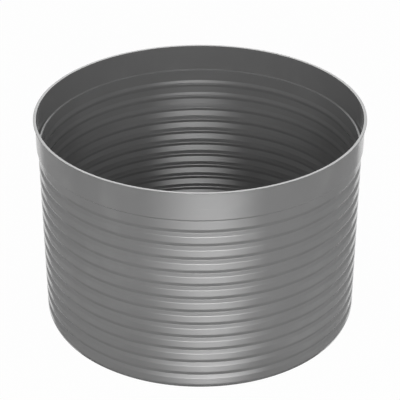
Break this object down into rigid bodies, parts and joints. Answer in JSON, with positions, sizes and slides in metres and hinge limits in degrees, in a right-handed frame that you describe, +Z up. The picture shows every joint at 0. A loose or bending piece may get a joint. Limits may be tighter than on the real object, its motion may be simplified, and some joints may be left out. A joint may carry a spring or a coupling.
{
  "type": "grease trap extension ring",
  "caption": "Round ribbed plastic riser ring, open at both ends, with a smooth, lipped socket collar on top that takes the ribbed end of the next ring or a cover.",
  "frame": {"origin": "centre of the ring's lower end, on the level it stands on", "axes": "+Z runs up the ring's axis, from the plain ribbed end to the socket collar; X and Y are any two square directions, because the ring is round"},
  "size_m": [0.306, 0.306, 0.2024],
  "materials": {
    "moulded_plastic": "moulded grey plastic with a soft sheen"
  },
  "bodies": {
    "root": {"extension_ring": "moulded_plastic"}
  },
  "joints": []
}
